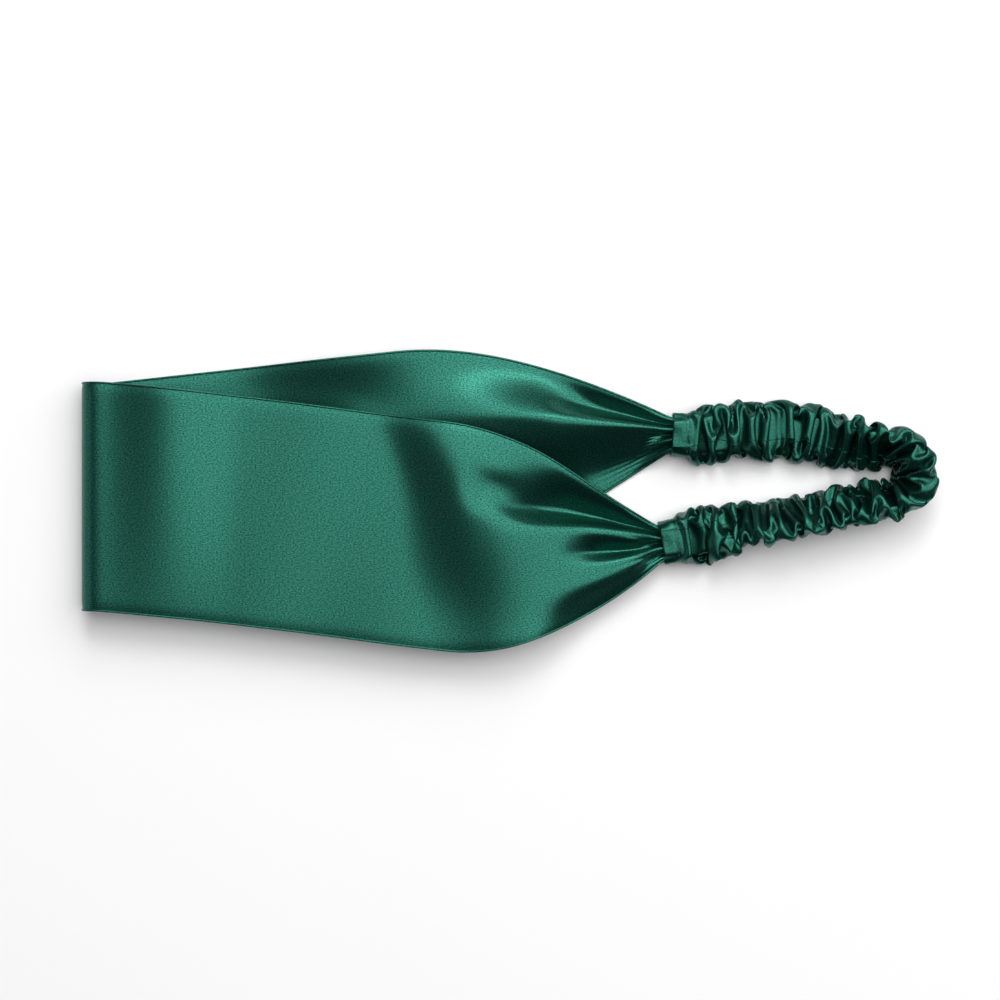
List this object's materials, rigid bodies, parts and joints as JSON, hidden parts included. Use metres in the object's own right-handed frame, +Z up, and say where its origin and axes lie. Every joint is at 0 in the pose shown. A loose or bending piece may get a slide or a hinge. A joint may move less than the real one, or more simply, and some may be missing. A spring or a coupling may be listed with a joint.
{
  "type": "headband",
  "caption": "Wide satin headband with gathered ends, closed at the back by a ruched casing over elastic, folded flat.",
  "frame": {"origin": "centre of the folded headband's outline, on the surface that it lies on", "axes": "+X from the fold towards the elastic, +Y across the band, +Z up from the surface"},
  "size_m": [0.2439, 0.0873, 0.0146],
  "materials": {
    "satin": "satin",
    "casing_satin": "satin",
    "thread": "matte",
    "elastic": "matte"
  },
  "bodies": {
    "band": {"outer_satin_panel": "satin", "inner_satin_panel": "satin", "top_edge_seam": "thread", "bottom_edge_seam": "thread", "back_gathering_thread": "thread", "front_gathering_thread": "thread", "casing_back_mouth": "casing_satin", "casing_back_arm": "casing_satin", "casing_front_arm": "casing_satin", "casing_front_mouth": "casing_satin", "casing_long_seam": "thread", "elastic_strip": "elastic", "back_join_stitching": "thread", "front_join_stitching": "thread"},
    "elastic_bend": {"casing_bend": "casing_satin"}
  },
  "joints": [
    {"name": "elastic_stretch", "type": "slide", "parent": "band", "child": "elastic_bend", "axis": [1, 0, 0], "range_m": [0, 0.05], "stiffness_N_per_m": 180, "deforming": ["casing_back_arm", "casing_front_arm", "elastic_strip", "casing_long_seam"]}
  ]
}
